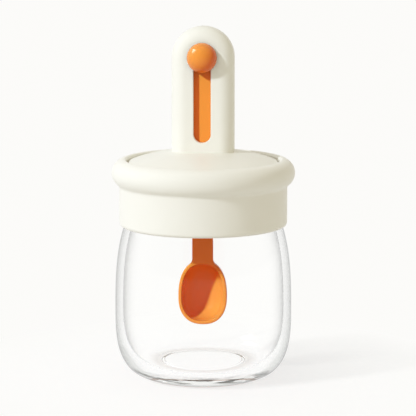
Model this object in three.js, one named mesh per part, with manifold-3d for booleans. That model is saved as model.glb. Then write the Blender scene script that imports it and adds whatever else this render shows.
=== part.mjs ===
// Seasoning jar with a lift-out lid that carries its own sliding spoon.
// Millimetres, +Z up. The origin is the middle of the jar's foot, and the slot and knob face -Y.
import * as THREE from "three";
import { mergeVertices } from "three/addons/utils/BufferGeometryUtils.js";
import Module from "manifold-3d";

const wasm = await Module();
wasm.setup();

// Fits shared by all the pieces.
const snap_gap = 0.2; // between two mouldings that clip together
const slide_gap = 0.3; // round anything that slides or turns
const overrun = 1; // how far a cutter runs past the wall that it cuts
const embed = 0.5; // how far a ridge is rooted in the wall that carries it

// Glass jar.
const jar_radius = 41.35;
const jar_widest_height = 29.5;
const jar_wall = 3.6;
const jar_neck_radius = 33.6;
const jar_neck_wall = 2.8;
const jar_neck_length = 16; // from the rim down to where the shoulder begins
const jar_shoulder_rise = 3.6;
const jar_height = 94;
const jar_rim_round = 0.9;
const jar_foot_radius = 22.4; // outer edge of the ring that the jar stands on
const jar_foot_ring = 1.9;
const jar_punt = 1.1; // how far the underside is pushed up inside that ring
const jar_floor = 5.6;
const jar_floor_radius = 22;
const heel_curve_share = 0.74;
const wall_curve_share = 3;

// Screw thread between the neck and the collar's inner ring.
const thread_pitch = 4;
const thread_turns_share = 1;
const thread_height = 1.8;
const thread_root_width = 2.2;
const thread_crest_width = 1;
const thread_drop = 10.6; // from the jar's rim down to the lower end of its thread
const thread_flank_gap = 0.2;
const thread_crest_gap = 0.5; // between the ring's ridge and the neck
const thread_wall_gap = 0.4; // between the jar's ridge and the ring
const thread_lead_share = 0.12; // stretch of each end that runs out, as a share of the thread

// Rim gasket.
const gasket_thickness = 1.8;
const gasket_inset = 0.5; // how far its bore stays back from the mouth
const gasket_gap = 0.4; // round it, inside the ring

// Collar shell, the cream ring with the rolled top.
const skirt_wall = 1.85;
const skirt_below_ring = 5.6;
const skirt_edge_land = 0.15; // flat left inside the rounded lower edge
const roll_radius = 6.4; // the rolled top's section
const roll_centre_inset = 0.6; // from the lip to the middle of that section
const roll_centre_drop = 1.8; // below the lid's seat
const roll_wall = 1.7;
const roll_crease_round = 2.2;
const lip_wall = 1.6;
const lip_edge_round = 1.3; // turns the roll's top down into the hole for the lid
const clip_bead = 0.6;
const clip_bead_height = 1.6;

// Threaded ring inside the collar.
const ring_wall = 1.3;
const ring_below_neck = 1; // how far the ring hangs below the neck's foot
const seat_thickness = 2.1; // flange between the gasket and the lid
const seat_inset = 0.6; // how far the flange's bore stays back from the mouth
const ring_shoulder_drop = 0.9; // how far the lip's foot lies below the seat

// Lid shell: dome and handle in one moulding.
const lid_gap = 1; // round the dome, inside the lip
const lid_edge_height = 3.3; // from the seat to where the dome starts
const lid_crown = 5.4;
const dome_curve_share = 2.5;
const lid_edge_round = 0.9;
const lid_edge_turn_share = 0.76; // how much of a quarter turn the edge's round takes
const lid_wall = 2.2;
const lid_rim_wall = 2.3;
const lid_clip = 0.4;
const lid_clip_height = 0.3;
const handle_width = 29;
const handle_depth = 17;
const handle_rise = 63; // from the dome's edge to the handle's top
const handle_round = 5.15;
const handle_wall = 2.5;
const slot_width = 8;
const slot_foot_rise = 13.6; // from the dome's edge to the centre of the slot's lower end

// Lid base: the plug that closes the lid shell from below.
const plug_gap = 0.8; // round the plug, inside the mouth
const plug_wall = 2.6;
const plug_depth = 9.5; // from the seat to the plug's bottom
const plug_floor = 2;
const base_flange_thickness = 1.3;
const seal_groove_depth = 1;
const seal_groove_width = 2.6;
const seal_groove_rise = 2.2; // from the plug's bottom to the groove

// Silicone pieces of the lid.
const seal_fin_gap = 0.25; // between the relaxed fins and the mouth
const seal_fin_thickness = 0.5;
const wiper_wall = 0.95;
const wiper_flange = 1.6;
const wiper_flange_thickness = 0.8;

// Guide track inside the handle.
const track_wall = 1.6;
const track_top_space = 4.9; // left above it under the handle's top
const track_rib_spacing = 8;

// Spoon.
const stem_width = 9.7;
const stem_thickness = 3.4;
const stem_edge_round = 0.7;
const stem_top_rise = 5; // above the knob's centre
const bowl_width = 22.65;
const bowl_length = 29.8;
const bowl_depth = 13.5;
const bowl_wall = 1.5;
const spoon_travel = 19; // how far the spoon comes down in the closed jar
const bowl_floor_gap = 0.5; // then left under the bowl
const bowl_widest_share = 0.43; // how far up its length the bowl is widest
const bowl_top_share = 0.82; // the lower, the squarer the rim's curve
const bowl_tip_share = 0.87;
const bowl_side_share = 0.72;
const bowl_flare = 3.5; // radius of the corner between the bowl and the stem

// Knob and brake pad.
const knob_radius = 6.9;
const knob_stand_off = 1; // from the handle's face to the ball's centre
const knob_rise = 0.5; // from the middle of the handle's round top to the ball's centre
const knob_peg_radius = 2.4;
const pad_width = 6;
const pad_length = 8;
const pad_pocket = 1.2;
const pad_rise = 0.25; // how far the pad stands out of the stem
const pad_drop = 12; // from the knob's centre down to the pad's middle

// Radii that follow from the sizes, from the mouth outwards.
const mouth_radius = jar_neck_radius - jar_neck_wall;
const plug_radius = mouth_radius - plug_gap;
const seal_fin_radius = mouth_radius - seal_fin_gap;
const seat_radius = mouth_radius + seat_inset;
const ring_inner = jar_neck_radius + thread_height + thread_wall_gap;
const ring_outer = ring_inner + ring_wall;
const skirt_inner = ring_outer + snap_gap;
const skirt_radius = skirt_inner + skirt_wall;
const jar_shoulder_radius = skirt_inner - slide_gap; // at the skirt's lower edge
const lip_radius = skirt_inner - lip_wall; // the hole that the lid sits in
const roll_centre_radius = lip_radius + roll_centre_inset;
const lid_radius = lip_radius - lid_gap;

// Heights that follow from the sizes.
const jar_neck_foot = jar_height - jar_neck_length;
const thread_start = jar_height - thread_drop;
const ring_bottom = jar_neck_foot - ring_below_neck;
const skirt_bottom = ring_bottom - skirt_below_ring;
const seat_height = jar_height + gasket_thickness + seat_thickness;
const roll_centre_height = seat_height - roll_centre_drop;
const plug_bottom = seat_height - plug_depth;
const lid_edge = seat_height + lid_edge_height;
const handle_top = lid_edge + handle_rise;
const handle_half = handle_width / 2;
const arch_height = handle_top - handle_half;
const knob_height = arch_height + knob_rise;
const slot_low = lid_edge + slot_foot_rise;
const bowl_bottom = jar_floor + spoon_travel + bowl_floor_gap;
const bowl_widest = bowl_bottom + bowl_length * bowl_widest_share;

// Depths that follow from the sizes.
const face = -handle_depth / 2;
const stem_front = face + handle_wall + slide_gap;
const stem_back = stem_front + stem_thickness;

// Roundness: steps in a full turn of what shows and of what is hidden.
const shown_steps = 44;
const hidden_steps = 32;
const quarter = Math.PI / 2;

// A closed geometry as a solid that can be joined and cut.
function solid(geometry) {
  const bare = geometry.clone();
  bare.deleteAttribute("normal");
  bare.deleteAttribute("uv");
  const merged = mergeVertices(bare);
  return new wasm.Manifold(
    new wasm.Mesh({
      numProp: 3,
      vertProperties: merged.attributes.position.array,
      triVerts: new Uint32Array(merged.index.array),
    }),
  );
}

// A solid as a geometry again.
function geometryOf(body) {
  const mesh = body.getMesh();
  const geometry = new THREE.BufferGeometry();
  geometry.setAttribute("position", new THREE.BufferAttribute(mesh.vertProperties, 3));
  geometry.setIndex(new THREE.BufferAttribute(mesh.triVerts, 1));
  geometry.computeVertexNormals();
  return geometry;
}

// Turns a profile of [radius, height] points, given anticlockwise, about the jar's axis.
function revolve(profile, steps) {
  const points = profile.map(([r, z]) => new THREE.Vector2(r, z));
  if (profile[0][0] > 0) points.push(points[0].clone());
  return solid(new THREE.LatheGeometry(points, steps).rotateX(quarter));
}

// Points of an arc, both ends included.
function arc(r, z, radius, from, to, steps) {
  return Array.from({ length: steps + 1 }, (_, i) => {
    const a = from + ((to - from) * i) / steps;
    return [r + radius * Math.cos(a), z + radius * Math.sin(a)];
  });
}

// Values of a function at even steps from 0 to 1.
function along(steps, make) {
  return Array.from({ length: steps + 1 }, (_, i) => make(i / steps));
}

// An outline in X and Z, carried through Y from front to back, with its edges rounded.
function plate(outline, front, back, round, arc_steps, round_steps) {
  const made = new THREE.ExtrudeGeometry(outline, {
    depth: back - front - 2 * round,
    bevelEnabled: round > 0,
    bevelThickness: round,
    bevelSize: round,
    bevelOffset: -round,
    bevelSegments: round_steps,
    curveSegments: arc_steps,
  });
  return solid(made.rotateX(quarter).translate(0, back - round, 0));
}

// An outline in X and Y, carried up from one height to another.
function column(outline, low, high) {
  const made = new THREE.ExtrudeGeometry(outline, {
    depth: high - low,
    bevelEnabled: false,
  });
  return solid(made.translate(0, 0, low));
}

// A rectangle from its left, right, near and far sides.
function rectangle(left, right, near, far) {
  return new THREE.Shape([
    new THREE.Vector2(left, near),
    new THREE.Vector2(right, near),
    new THREE.Vector2(right, far),
    new THREE.Vector2(left, far),
  ]);
}

// One open-ended screw ridge. Its foot is rooted at one radius and its crest reaches another.
function ridge(foot, crest, start, steps_a_turn) {
  const steps = Math.round(steps_a_turn * thread_turns_share);
  const points = [];
  for (let i = 0; i <= steps; i++) {
    const share = i / steps;
    const grown = Math.min(1, share / thread_lead_share, (1 - share) / thread_lead_share);
    const reach = foot + (crest - foot) * Math.max(grown, thread_lead_share);
    const angle = (2 * Math.PI * i) / steps_a_turn;
    const z = start + (thread_pitch * i) / steps_a_turn;
    const section = [
      [foot, z - thread_root_width / 2],
      [reach, z - thread_crest_width / 2],
      [reach, z + thread_crest_width / 2],
      [foot, z + thread_root_width / 2],
    ];
    if (crest < foot) section.reverse();
    for (const [r, h] of section) points.push(r * Math.cos(angle), r * Math.sin(angle), h);
  }
  const faces = [];
  for (let i = 0; i < steps; i++) {
    for (let k = 0; k < 4; k++) {
      const a = 4 * i + k;
      const b = 4 * i + ((k + 1) % 4);
      faces.push(a, a + 4, b, b, a + 4, b + 4);
    }
  }
  const last = 4 * steps;
  faces.push(0, 1, 2, 0, 2, 3);
  faces.push(last, last + 2, last + 1, last, last + 3, last + 2);
  const geometry = new THREE.BufferGeometry();
  geometry.setAttribute("position", new THREE.Float32BufferAttribute(points, 3));
  geometry.setIndex(faces);
  return solid(geometry);
}

// Radius of the jar's outer wall between its widest height and the neck.
function wallRadius(z) {
  const share = (z - jar_widest_height) / (skirt_bottom - jar_widest_height);
  return jar_radius - (jar_radius - jar_shoulder_radius) * share ** wall_curve_share;
}

// The rounded heel, from a flat edge out and up to a wall.
function heel(flat, low, wide, high, steps) {
  return along(steps, (t) => [
    flat + (wide - flat) * Math.sin(t * quarter) ** heel_curve_share,
    low + (high - low) * (1 - Math.cos(t * quarter) ** heel_curve_share),
  ]);
}

// An S-shaped step from one radius to another.
function shoulder(from_r, from_z, to_r, to_z, steps) {
  return along(steps, (t) => [
    to_r + ((from_r - to_r) * (1 + Math.cos(t * Math.PI))) / 2,
    from_z + (to_z - from_z) * t,
  ]);
}

function makeJar() {
  const shoulder_start = jar_neck_foot - jar_shoulder_rise;
  const inner_radius = jar_radius - jar_wall;
  const inner_widest = jar_widest_height + jar_floor / 2;
  const inner_start = shoulder_start - jar_wall;
  const inner_top = wallRadius(inner_start) - jar_wall;
  const rim_z = jar_height - jar_rim_round;
  const wall = (t) => jar_widest_height + (shoulder_start - jar_widest_height) * t;
  const inner = (t) => inner_widest + (inner_start - inner_widest) * (1 - t);
  const profile = [
    [0, jar_punt],
    [jar_foot_radius - 2 * jar_foot_ring, jar_punt],
    [jar_foot_radius - jar_foot_ring, 0],
    ...heel(jar_foot_radius, 0, jar_radius, jar_widest_height, 8),
    ...along(5, (t) => [wallRadius(wall(t)), wall(t)]).slice(1, -1),
    ...shoulder(wallRadius(shoulder_start), shoulder_start, jar_neck_radius, jar_neck_foot, 4),
    ...arc(jar_neck_radius - jar_rim_round, rim_z, jar_rim_round, 0, quarter, 2),
    ...arc(mouth_radius + jar_rim_round, rim_z, jar_rim_round, quarter, 2 * quarter, 2),
    ...shoulder(inner_top, inner_start, mouth_radius, jar_neck_foot, 4).reverse(),
    ...along(4, (t) => [wallRadius(inner(t)) - jar_wall, inner(t)]).slice(1, -1),
    ...heel(jar_floor_radius, jar_floor, inner_radius, inner_widest, 7).reverse(),
    [0, jar_floor],
  ];
  const thread = ridge(jar_neck_radius - embed, jar_neck_radius + thread_height, thread_start, shown_steps);
  return revolve(profile, shown_steps).add(thread);
}

function makeGasket() {
  const inner = mouth_radius + gasket_inset;
  const outer = ring_inner - gasket_gap;
  const top = jar_height + gasket_thickness;
  return revolve(
    [
      [inner, jar_height],
      [outer, jar_height],
      [outer, top],
      [inner, top],
    ],
    hidden_steps,
  );
}

function makeCollarShell() {
  const edge_round = skirt_wall - skirt_edge_land;
  const lip_foot = seat_height - ring_shoulder_drop + snap_gap;
  const crease_reach = roll_radius + roll_crease_round;
  const crease_r = skirt_radius + roll_crease_round;
  const crease_drop = Math.sqrt(crease_reach ** 2 - (crease_r - roll_centre_radius) ** 2);
  const crease_z = roll_centre_height - crease_drop;
  const meet = Math.atan2(crease_drop, roll_centre_radius - crease_r);
  const hollow = roll_radius - roll_wall;
  const lip_outer = lip_radius + lip_wall;
  const low_turn = Math.acos((skirt_inner - roll_centre_radius) / hollow);
  const high_turn = Math.acos((lip_outer - roll_centre_radius) / hollow);
  const bead_top = ring_bottom - snap_gap;
  const lip_r = lip_radius + lip_edge_round;
  const lip_reach = roll_radius - lip_edge_round;
  const lip_turn = Math.acos((lip_r - roll_centre_radius) / lip_reach);
  const lip_z = roll_centre_height + lip_reach * Math.sin(lip_turn);
  const profile = [
    [skirt_inner, skirt_bottom],
    ...arc(skirt_radius - edge_round, skirt_bottom + edge_round, edge_round, -quarter, 0, 3),
    ...arc(crease_r, crease_z, roll_crease_round, 2 * quarter, meet, 3),
    ...arc(roll_centre_radius, roll_centre_height, roll_radius, meet - 2 * quarter, lip_turn, 11).slice(1),
    ...arc(lip_r, lip_z, lip_edge_round, lip_turn, 2 * quarter, 4).slice(1),
    [lip_radius, lip_foot],
    [lip_outer, lip_foot],
    ...arc(roll_centre_radius, roll_centre_height, hollow, high_turn, -low_turn, 6),
    [skirt_inner, bead_top],
    [skirt_inner - clip_bead, bead_top - clip_bead / 2],
    [skirt_inner - clip_bead, bead_top - clip_bead],
    [skirt_inner, bead_top - clip_bead_height],
  ];
  return revolve(profile, shown_steps);
}

function makeThreadRing() {
  const under_seat = seat_height - seat_thickness;
  const shoulder_top = seat_height - ring_shoulder_drop;
  const profile = [
    [ring_inner, ring_bottom],
    [ring_outer, ring_bottom],
    [ring_outer, shoulder_top],
    [lip_radius - snap_gap, shoulder_top],
    [lip_radius - snap_gap, seat_height],
    [seat_radius, seat_height],
    [seat_radius, under_seat],
    [ring_inner, under_seat],
  ];
  // When the collar is tight, its ridge pulls up against the underside of the jar's ridge.
  const middle_width = (thread_root_width + thread_crest_width) / 2;
  const start = thread_start - middle_width - thread_flank_gap;
  const crest = jar_neck_radius + thread_crest_gap;
  const thread = ridge(ring_inner + embed, crest, start, hidden_steps);
  return revolve(profile, hidden_steps).add(thread);
}

// Height of the dome's skin at a distance from the axis.
function domeHeight(r) {
  return lid_edge + lid_crown * (1 - (r / lid_radius) ** dome_curve_share);
}

// The handle's outline, drawn in by a wall and open below.
function archOutline(inset, low) {
  const half = handle_half - inset;
  const outline = new THREE.Shape();
  outline.moveTo(-half, low);
  outline.lineTo(half, low);
  outline.absarc(0, arch_height, half, 0, 2 * quarter, false);
  return outline;
}

// The slot's outline, round at both ends.
function slotOutline() {
  const half = slot_width / 2;
  const outline = new THREE.Shape();
  outline.absarc(0, knob_height, half, 0, 2 * quarter, false);
  outline.absarc(0, slot_low, half, 2 * quarter, 4 * quarter, false);
  return outline;
}

function makeLidShell() {
  const edge_end = quarter * lid_edge_turn_share;
  const edge_r = lid_radius - lid_edge_round;
  const edge_reach = edge_r + lid_edge_round * Math.cos(edge_end);
  const edge_z = domeHeight(edge_reach) - lid_edge_round * Math.sin(edge_end);
  const edge = arc(edge_r, edge_z, lid_edge_round, 0, edge_end, 3);
  const start = edge[edge.length - 1][0];
  const skin = [
    [0, seat_height],
    [lid_radius, seat_height],
    ...edge,
    ...along(7, (t) => [start * (1 - t), domeHeight(start * (1 - t))]).slice(1),
  ];
  const inner_r = lid_radius - lid_rim_wall;
  const clip_top = seat_height + lid_clip_height;
  const hollow = [
    [0, seat_height - overrun],
    [inner_r - lid_clip, seat_height - overrun],
    [inner_r - lid_clip, clip_top],
    [inner_r, clip_top],
    ...along(6, (t) => [inner_r * (1 - t), domeHeight(inner_r * (1 - t)) - lid_wall]),
  ];
  const round = handle_round - handle_wall;
  const body = plate(archOutline(0, seat_height), face, -face, handle_round, 14, 4);
  const room = plate(
    archOutline(handle_wall, seat_height - handle_round),
    face + handle_wall,
    -face - handle_wall,
    round,
    12,
    2,
  );
  const slot = plate(slotOutline(), face - overrun, face + handle_wall + overrun, 0, 8, 1);
  return revolve(skin, shown_steps)
    .add(body)
    .subtract(revolve(hollow, hidden_steps))
    .subtract(room)
    .subtract(slot);
}

// The hole in the plug's floor, with the wiper in it.
function passage(grow) {
  const half = stem_width / 2 + slide_gap + grow;
  return rectangle(-half, half, stem_front - slide_gap - grow, stem_back + slide_gap + grow);
}

function makeLidBase() {
  const flange_low = seat_height + lid_clip_height + snap_gap / 2;
  const flange_radius = lid_radius - lid_rim_wall - snap_gap;
  const groove_low = plug_bottom + seal_groove_rise;
  const groove_r = plug_radius - seal_groove_depth;
  const profile = [
    [0, plug_bottom],
    [plug_radius, plug_bottom],
    [plug_radius, groove_low],
    [groove_r, groove_low],
    [groove_r, groove_low + seal_groove_width],
    [plug_radius, groove_low + seal_groove_width],
    [plug_radius, flange_low],
    [flange_radius, flange_low],
    [flange_radius, flange_low + base_flange_thickness],
    [plug_radius - plug_wall, flange_low + base_flange_thickness],
    [plug_radius - plug_wall, plug_bottom + plug_floor],
    [0, plug_bottom + plug_floor],
  ];
  const hole = column(
    passage(wiper_wall + snap_gap),
    plug_bottom - overrun,
    plug_bottom + plug_floor + overrun,
  );
  return revolve(profile, hidden_steps).subtract(hole);
}

// Lip ring with two fins that press on the inside of the jar's mouth.
function makePlugSeal() {
  const inner = plug_radius - seal_groove_depth + snap_gap / 2;
  const body = plug_radius + snap_gap / 2;
  const low = plug_bottom + seal_groove_rise + snap_gap / 2;
  const high = low + seal_groove_width - snap_gap;
  const fin = seal_fin_thickness;
  const profile = [
    [inner, low],
    [body, low],
    [seal_fin_radius, low + fin],
    [seal_fin_radius, low + 2 * fin],
    [body, low + 2 * fin],
    [body, high - fin],
    [seal_fin_radius, high - fin / 2],
    [seal_fin_radius, high],
    [inner, high],
  ];
  return revolve(profile, hidden_steps);
}

// Silicone frame in the plug's floor, which wipes the stem.
function makeStemWiper() {
  const frame = passage(wiper_wall);
  const lips = passage(-snap_gap / 2);
  frame.holes.push(lips);
  const flange = passage(wiper_wall + wiper_flange);
  flange.holes.push(lips);
  const top = plug_bottom + plug_floor - snap_gap;
  return column(frame, plug_bottom - wiper_flange_thickness / 2, top).add(
    column(flange, plug_bottom - wiper_flange_thickness, plug_bottom),
  );
}

// Channel that stands on the plug inside the handle and keeps the stem behind the slot.
function makeGuideTrack() {
  const inside = stem_width / 2 + slide_gap;
  const outside = inside + track_wall;
  const front = stem_front;
  const channel_back = stem_back + slide_gap;
  const back = channel_back + track_wall;
  const rear = -face - handle_wall - slide_gap;
  const rib = track_rib_spacing / 2;
  const low = plug_bottom + plug_floor;
  const high = handle_top - handle_wall - track_top_space;
  const section = new THREE.Shape(
    [
      [-outside, front],
      [-inside, front],
      [-inside, channel_back],
      [inside, channel_back],
      [inside, front],
      [outside, front],
      [outside, back],
      [rib, back],
      [rib, rear],
      [rib - track_wall, rear],
      [rib - track_wall, back],
      [track_wall - rib, back],
      [track_wall - rib, rear],
      [-rib, rear],
      [-rib, back],
      [-outside, back],
    ].map(([x, y]) => new THREE.Vector2(x, y)),
  );
  const foot_ring = rectangle(-handle_half, handle_half, face, -face);
  foot_ring.holes.push(passage(0));
  return column(section, low, high).add(column(foot_ring, low, low + track_wall));
}

// A power of a sine or cosine that keeps its sign.
function signedPower(value, power) {
  return Math.sign(value) * Math.abs(value) ** power;
}

// A point of the bowl's rim, at an angle from its right side, drawn in by an inset.
function rimPoint(angle, inset, shrink) {
  const half_width = bowl_width / 2 - inset;
  const lower = bowl_length * bowl_widest_share;
  const above = Math.sin(angle) > 0;
  const reach = above ? bowl_length - lower - inset : lower - inset;
  const share = above ? bowl_top_share : bowl_tip_share;
  return [
    half_width * shrink * signedPower(Math.cos(angle), share),
    bowl_widest + reach * shrink * signedPower(Math.sin(angle), share),
  ];
}

// A deep oval cup, open side at the front, as a closed solid.
function cup(inset, front, depth) {
  const around = 32;
  const levels = 6;
  const points = [0, front, bowl_widest];
  for (let j = 0; j < levels; j++) {
    const b = (quarter * j) / levels;
    const shrink = Math.cos(b) ** bowl_side_share;
    const y = stem_front + depth * Math.sin(b) ** bowl_side_share;
    for (let i = 0; i < around; i++) {
      const [x, z] = rimPoint((4 * quarter * i) / around, inset, shrink);
      points.push(x, j ? y : front, z);
    }
  }
  points.push(0, stem_front + depth, bowl_widest);
  const tip = 1 + levels * around;
  const faces = [];
  for (let i = 0; i < around; i++) {
    const next = (i + 1) % around;
    faces.push(0, 1 + i, 1 + next);
    for (let j = 0; j < levels - 1; j++) {
      const a = 1 + j * around;
      const b = a + around;
      faces.push(a + i, b + i, a + next, a + next, b + i, b + next);
    }
    const last = 1 + (levels - 1) * around;
    faces.push(last + i, tip, last + next);
  }
  const geometry = new THREE.BufferGeometry();
  geometry.setAttribute("position", new THREE.Float32BufferAttribute(points, 3));
  geometry.setIndex(faces);
  return solid(geometry);
}

// The concave corner between the stem and the bowl: its centre's height, and where it meets the rim.
function flareCorner() {
  const x = stem_width / 2 + bowl_flare;
  const angles = along(180, (t) => t * quarter);
  let low = bowl_widest;
  let high = bowl_bottom + bowl_length + bowl_flare;
  let meet = 0;
  for (let i = 0; i < 30; i++) {
    const z = (low + high) / 2;
    const far = (angle) => {
      const [rim_x, rim_z] = rimPoint(angle, 0, 1);
      return Math.hypot(rim_x - x, rim_z - z);
    };
    meet = angles.reduce((best, angle) => (far(angle) < far(best) ? angle : best));
    if (far(meet) > bowl_flare) high = z;
    else low = z;
  }
  return { x, z: low, meet };
}

// Outline of the stem with its flare, down to where the bowl is widest.
function stemOutline() {
  const corner = flareCorner();
  const [meet_x, meet_z] = rimPoint(corner.meet, 0, 1);
  const turn = Math.atan2(meet_z - corner.z, meet_x - corner.x);
  const from = turn < 0 ? turn + 4 * quarter : turn;
  const side = [
    ...along(8, (t) => rimPoint(corner.meet * t, 0, 1)).slice(0, -1),
    ...arc(corner.x, corner.z, bowl_flare, from, 2 * quarter, 5),
    [stem_width / 2, knob_height + stem_top_rise],
  ];
  const mirrored = side.map(([x, z]) => [-x, z]).reverse();
  return new THREE.Shape([...side, ...mirrored].map(([x, z]) => new THREE.Vector2(x, z)));
}

// A round bar along Y.
function bar(radius, front, back, height, steps) {
  const made = new THREE.CylinderGeometry(radius, radius, back - front, steps);
  return solid(made.translate(0, (front + back) / 2, height));
}

function padBox(grow, depth) {
  const z = knob_height - pad_drop;
  const half_w = pad_width / 2 + grow;
  const half_l = pad_length / 2 + grow;
  return column(
    rectangle(-half_w, half_w, stem_back - pad_pocket - grow / 2, stem_back + depth),
    z - half_l,
    z + half_l,
  );
}

function makeSpoon() {
  const stem = plate(stemOutline(), stem_front, stem_back, stem_edge_round, 8, 2);
  const scoop = cup(bowl_wall, stem_front - overrun, bowl_depth - bowl_wall);
  const peg_radius = knob_peg_radius + snap_gap;
  const peg_hole = bar(peg_radius, stem_front - overrun, stem_back + overrun, knob_height, 20);
  return cup(0, stem_front, bowl_depth)
    .add(stem)
    .subtract(scoop)
    .subtract(peg_hole)
    .subtract(padBox(snap_gap / 2, overrun));
}

function makeKnob() {
  const centre = face - knob_stand_off;
  const back = face - slide_gap;
  const ball = new THREE.SphereGeometry(knob_radius, 28, 15);
  const cutter = column(
    rectangle(-2 * knob_radius, 2 * knob_radius, back, back + 2 * knob_radius),
    knob_height - 2 * knob_radius,
    knob_height + 2 * knob_radius,
  );
  const shank_radius = slot_width / 2 - slide_gap;
  return solid(ball.translate(0, centre, knob_height))
    .subtract(cutter)
    .add(bar(shank_radius, centre, stem_front, knob_height, 24))
    .add(bar(knob_peg_radius, centre, stem_back - snap_gap, knob_height, 20));
}

function finish(color, roughness) {
  return new THREE.MeshStandardMaterial({ color, roughness, metalness: 0 });
}

const glass = finish(0xf4f8f8, 0.03);
glass.transparent = true;
glass.opacity = 0.35;
const cream = finish(0xf3f0e4, 0.42);
const natural = finish(0xe9e7de, 0.5);
const silicone = finish(0xdfe0dc, 0.6);
const orange = finish(0xe8853a, 0.4);

const pieces = [
  ["glass_jar", makeJar(), glass],
  ["rim_gasket", makeGasket(), silicone],
  ["collar_shell", makeCollarShell(), cream],
  ["thread_ring", makeThreadRing(), natural],
  ["lid_shell", makeLidShell(), cream],
  ["lid_base", makeLidBase(), natural],
  ["guide_track", makeGuideTrack(), natural],
  ["plug_seal", makePlugSeal(), silicone],
  ["stem_wiper", makeStemWiper(), silicone],
  ["spoon", makeSpoon(), orange],
  ["slide_knob", makeKnob(), orange],
  ["brake_pad", padBox(0, pad_rise), silicone],
];

const group = new THREE.Group();
for (const [name, body, material] of pieces) {
  const mesh = new THREE.Mesh(geometryOf(body), material);
  mesh.name = name;
  group.add(mesh);
}

export default group;
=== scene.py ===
import math

import bpy
import numpy as np
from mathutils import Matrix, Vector


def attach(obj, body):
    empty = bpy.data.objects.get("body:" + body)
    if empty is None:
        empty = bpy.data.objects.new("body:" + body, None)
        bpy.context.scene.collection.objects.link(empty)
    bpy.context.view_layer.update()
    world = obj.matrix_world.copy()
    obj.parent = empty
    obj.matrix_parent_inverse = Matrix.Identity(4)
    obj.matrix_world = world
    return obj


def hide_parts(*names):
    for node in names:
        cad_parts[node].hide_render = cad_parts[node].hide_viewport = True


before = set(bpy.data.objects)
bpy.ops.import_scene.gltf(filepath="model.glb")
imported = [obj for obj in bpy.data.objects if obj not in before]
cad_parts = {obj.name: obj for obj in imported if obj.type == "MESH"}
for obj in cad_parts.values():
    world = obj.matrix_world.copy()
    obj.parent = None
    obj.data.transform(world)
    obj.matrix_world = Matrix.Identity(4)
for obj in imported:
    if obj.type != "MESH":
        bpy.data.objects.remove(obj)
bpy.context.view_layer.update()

MM = 0.001
QUARTER = math.pi / 2
TURN = 2 * math.pi

# Sizes in millimetres, as in the part's source.
SNAP_GAP = 0.2
SLIDE_GAP = 0.3
OVERRUN = 1.0
CUT_STEP = 0.002  # keeps the face of a cut off the face that it cuts

JAR_RADIUS = 41.35
JAR_WIDEST = 29.5
JAR_WALL = 3.6
NECK_RADIUS = 33.6
NECK_WALL = 2.8
NECK_LENGTH = 16.0
SHOULDER_RISE = 3.6
JAR_HEIGHT = 94.0
RIM_ROUND = 0.9
FOOT_RADIUS = 22.4
FOOT_RING = 1.9
PUNT = 1.1
PUNT_LAND = 0.5
FLOOR = 5.6
FLOOR_RADIUS = 22.0
HEEL_CURVE = 0.74
WALL_CURVE = 3.0

PITCH = 4.0
THREAD_HEIGHT = 1.8
THREAD_ROOT = 2.2
THREAD_CREST = 1.0
THREAD_DROP = 10.6
FLANK_GAP = 0.2
CREST_GAP = 0.5
THREAD_WALL_GAP = 0.4
THREAD_LEAD = 0.12
NECK_STEP = 0.22
RING_STEP = 0.3

GASKET_THICKNESS = 1.8
GASKET_INSET = 0.5
GASKET_GAP = 0.4
GASKET_ROUND = 0.3

SKIRT_WALL = 1.85
SKIRT_BELOW_RING = 5.6
SKIRT_LAND = 0.15
SKIRT_STRIP = 0.3
ROLL_RADIUS = 6.4
ROLL_INSET = 0.6
ROLL_DROP = 1.8
ROLL_WALL = 1.7
CREASE_ROUND = 2.2
LIP_WALL = 1.6
LIP_ROUND = 1.3

RING_WALL = 1.3
RING_BELOW_NECK = 1.0
SEAT_THICKNESS = 2.1
SEAT_INSET = 0.6
RING_SHOULDER_DROP = 0.9
CLIP_BEAD = 0.6
CLIP_BEAD_HEIGHT = 1.6

LID_GAP = 1.0
LID_EDGE_HEIGHT = 3.3
LID_CROWN = 5.4
DOME_CURVE = 2.5
LID_EDGE_ROUND = 0.9
LID_EDGE_TURN = 0.76
LID_WALL = 2.2
LID_RIM_WALL = 2.3
LID_CLIP = 0.4
LID_CLIP_HEIGHT = 0.3
HANDLE_WIDTH = 29.0
HANDLE_DEPTH = 17.0
HANDLE_RISE = 63.0
HANDLE_ROUND = 6.8
ROOM_ROUND = 2.65
HANDLE_WALL = 2.5
HANDLE_FOOT_RISE = 2.0
SLOT_WIDTH = 8.0
SLOT_FOOT_RISE = 13.6
SLOT_ROUND = 0.4

PLUG_GAP = 0.8
PLUG_WALL = 2.6
PLUG_DEPTH = 9.5
PLUG_FLOOR = 2.0
BASE_FLANGE = 1.3
PLUG_ROUND = 0.5
GROOVE_DEPTH = 1.0
GROOVE_WIDTH = 2.6
GROOVE_RISE = 2.2
FIN_GAP = 0.25
FIN_THICKNESS = 0.5
FIN_TIP = 0.1
LOW_FIN = (0.8, 1.2, 2)  # where the fin's tip starts, is widest and ends, in its thicknesses
HIGH_FIN = (0.7, 0.35, 0)  # the same for the upper fin, from the top down
WIPER_WALL = 0.95

STEM_WIDTH = 9.7
STEM_THICKNESS = 3.4
STEM_ROUND = 0.7
STEM_TOP_RISE = 5.0
BOWL_WIDTH = 22.65
BOWL_LENGTH = 29.8
BOWL_DEPTH = 13.5
BOWL_WALL = 1.5
SPOON_TRAVEL = 19.0
BOWL_FLOOR_GAP = 0.5
BOWL_WIDEST_SHARE = 0.43
BOWL_TOP_SHARE = 0.82
BOWL_TIP_SHARE = 0.87
BOWL_SIDE_SHARE = 0.72
BOWL_FLARE = 3.5
FLARE_SAMPLES = 1441
FLARE_HALVINGS = 40
RIM_OUTER_ROUND = 0.6
RIM_INNER_ROUND = 0.4

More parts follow.
